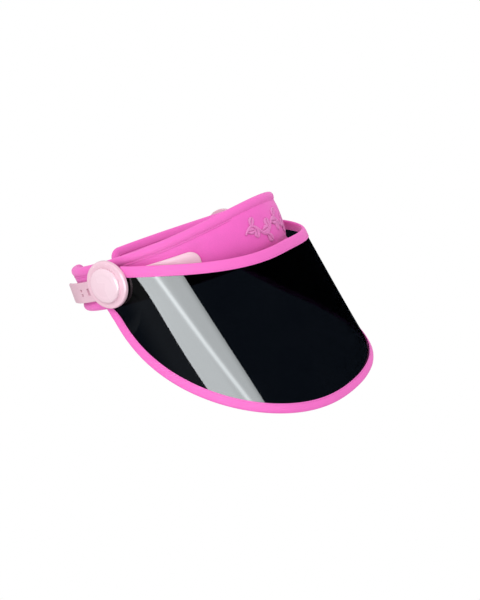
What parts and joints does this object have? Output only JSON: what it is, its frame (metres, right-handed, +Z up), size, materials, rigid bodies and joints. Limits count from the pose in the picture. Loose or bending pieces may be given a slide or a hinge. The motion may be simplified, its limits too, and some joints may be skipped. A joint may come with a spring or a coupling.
{
  "type": "sun visor",
  "caption": "Clip-on sun visor: open padded fabric headband with spring arms and a tape-edged smoke face shield that hinges on round side knobs.",
  "frame": {"origin": "middle of the head opening, level with the headband's bottom edge", "axes": "+Z up out of the head opening, -Y towards the front of the visor, +X towards the wearer's left"},
  "size_m": [0.228, 0.2276, 0.1834],
  "materials": {
    "band_cloth": "brushed knit over foam",
    "foam": "open-cell foam",
    "lining_cloth": "soft terry knit",
    "spring_steel": "blued strip",
    "binding_tape": "folded knit tape, top-stitched",
    "embroidery_thread": "satin stitch",
    "smoke_sheet": "high gloss, smoke tinted",
    "shield_tape": "folded knit tape",
    "blush_plastic": "satin moulded",
    "knob_plastic": "satin moulded",
    "hub_plastic": "satin moulded",
    "washer_nylon": "natural nylon",
    "pin_steel": "plated",
    "rivet_steel": "plated"
  },
  "bodies": {
    "headband": {"band_cover": "band_cloth", "foam_pad": "foam", "sweatband_lining": "lining_cloth", "spring_hoop": "spring_steel", "top_binding": "binding_tape", "bottom_binding": "binding_tape", "embroidered_vine": "embroidery_thread", "spring_arm_left": "blush_plastic", "friction_washer_left": "washer_nylon", "arm_rivet_front_left": "rivet_steel", "arm_rivet_rear_left": "rivet_steel", "spring_arm_right": "blush_plastic", "friction_washer_right": "washer_nylon", "arm_rivet_front_right": "rivet_steel", "arm_rivet_rear_right": "rivet_steel"},
    "shield": {"shield_lens": "smoke_sheet", "shield_top_tape": "shield_tape", "shield_bottom_tape": "shield_tape", "hub_plate_left": "hub_plastic", "hub_plate_right": "hub_plastic", "pivot_nut_left": "pin_steel", "pivot_nut_right": "pin_steel", "knob_base_left": "knob_plastic", "knob_base_right": "knob_plastic", "knob_cap_left": "knob_plastic", "knob_cap_right": "knob_plastic", "pivot_pin_left": "pin_steel", "pivot_pin_right": "pin_steel"}
  },
  "joints": [
    {"name": "shield_hinge", "type": "hinge", "parent": "headband", "child": "shield", "pos_m": [0, 0.0085, 0.0227], "axis": [-1, 0, 0], "range_deg": [-8, 80]}
  ]
}
